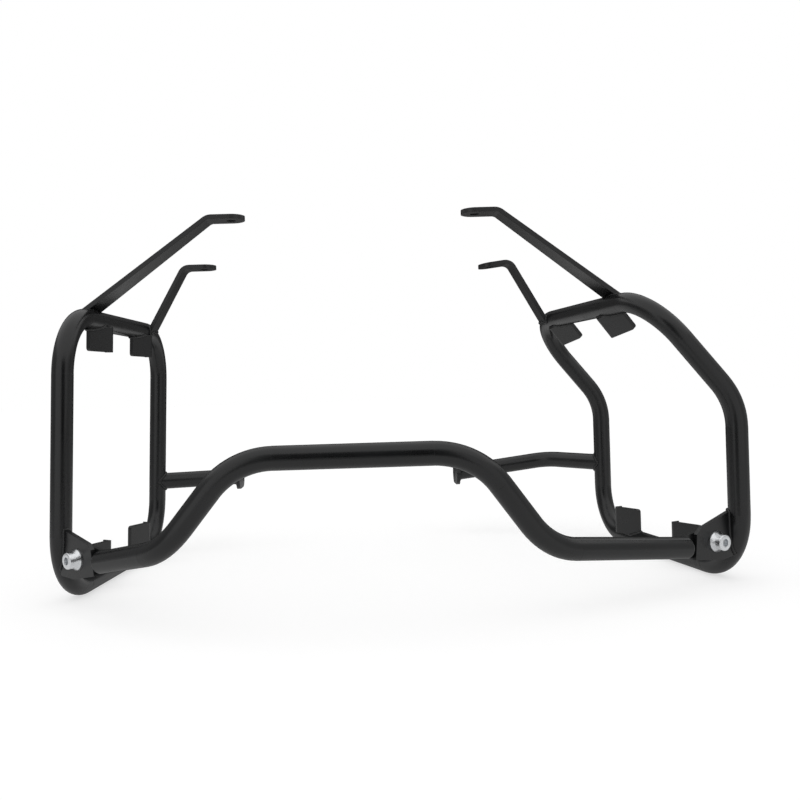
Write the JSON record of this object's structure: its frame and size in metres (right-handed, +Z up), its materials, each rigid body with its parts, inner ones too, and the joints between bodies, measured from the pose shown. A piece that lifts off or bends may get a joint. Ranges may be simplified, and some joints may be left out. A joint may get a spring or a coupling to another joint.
{
  "type": "motorcycle luggage rack",
  "caption": "Side case rack of black steel tube: a rounded hoop at each side, joined behind by a bent cross tube on bolted plates, with flat arms and struts to the bike.",
  "frame": {"origin": "under the middle of the rack's bounding box, level with the underside of the hoops' lower rails", "axes": "+X to the bike's right, +Y forwards, +Z up"},
  "size_m": [0.5879, 0.4806, 0.335],
  "materials": {
    "powder_coat": "satin black powder coat",
    "fastener": "bright zinc plate"
  },
  "bodies": {
    "root": {"left_hoop": "powder_coat", "right_hoop": "powder_coat", "cross_tube": "powder_coat", "left_cross_lug": "powder_coat", "right_cross_lug": "powder_coat", "left_corner_plate": "powder_coat", "right_corner_plate": "powder_coat", "left_bolt": "fastener", "right_bolt": "fastener", "left_nut": "fastener", "right_nut": "fastener", "left_rear_arm": "powder_coat", "right_rear_arm": "powder_coat", "left_front_arm": "powder_coat", "right_front_arm": "powder_coat", "left_strut": "powder_coat", "right_strut": "powder_coat", "left_strut_eye": "powder_coat", "right_strut_eye": "powder_coat", "left_top_rear_tab": "powder_coat", "left_top_front_tab": "powder_coat", "left_bottom_rear_tab": "powder_coat", "left_bottom_front_tab": "powder_coat", "right_top_rear_tab": "powder_coat", "right_top_front_tab": "powder_coat", "right_bottom_rear_tab": "powder_coat", "right_bottom_front_tab": "powder_coat"}
  },
  "joints": []
}
